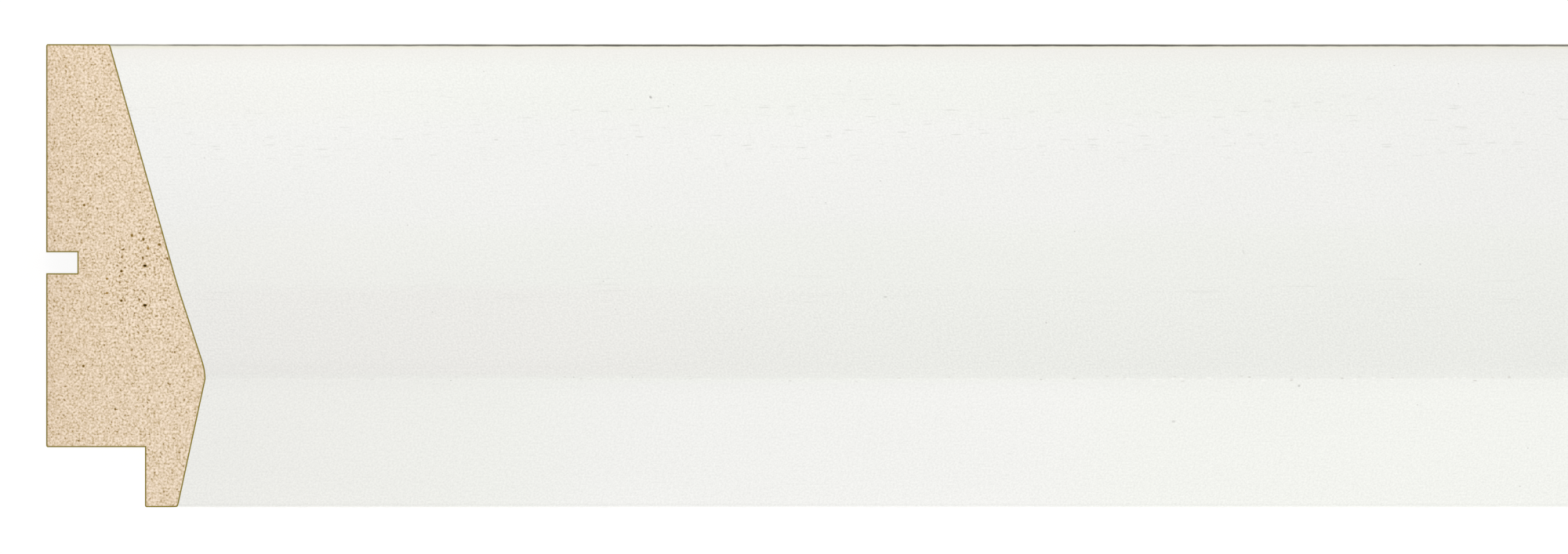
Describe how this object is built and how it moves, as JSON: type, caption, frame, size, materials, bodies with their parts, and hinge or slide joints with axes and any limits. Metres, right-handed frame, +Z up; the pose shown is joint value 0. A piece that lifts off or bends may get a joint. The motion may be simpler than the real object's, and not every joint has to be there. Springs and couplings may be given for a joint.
{
  "type": "picture frame moulding",
  "caption": "Straight length of white-painted wooden picture frame moulding with a sloping face, a rounded crest, a rebate under the sight edge and a relief groove along its flat back.",
  "frame": {"origin": "on the flat back, in the middle of the length and of the width", "axes": "+X along the stock, +Y towards the outer side, -Y towards the sight edge and rebate, +Z up from the back to the painted face"},
  "size_m": [2.4, 0.061, 0.021],
  "materials": {
    "painted_wood": "matt off-white paint on the face, outer side and sight edge; bare pale wood on the back, rebate, groove and sawn ends"
  },
  "bodies": {
    "root": {"moulding": "painted_wood"}
  },
  "joints": []
}
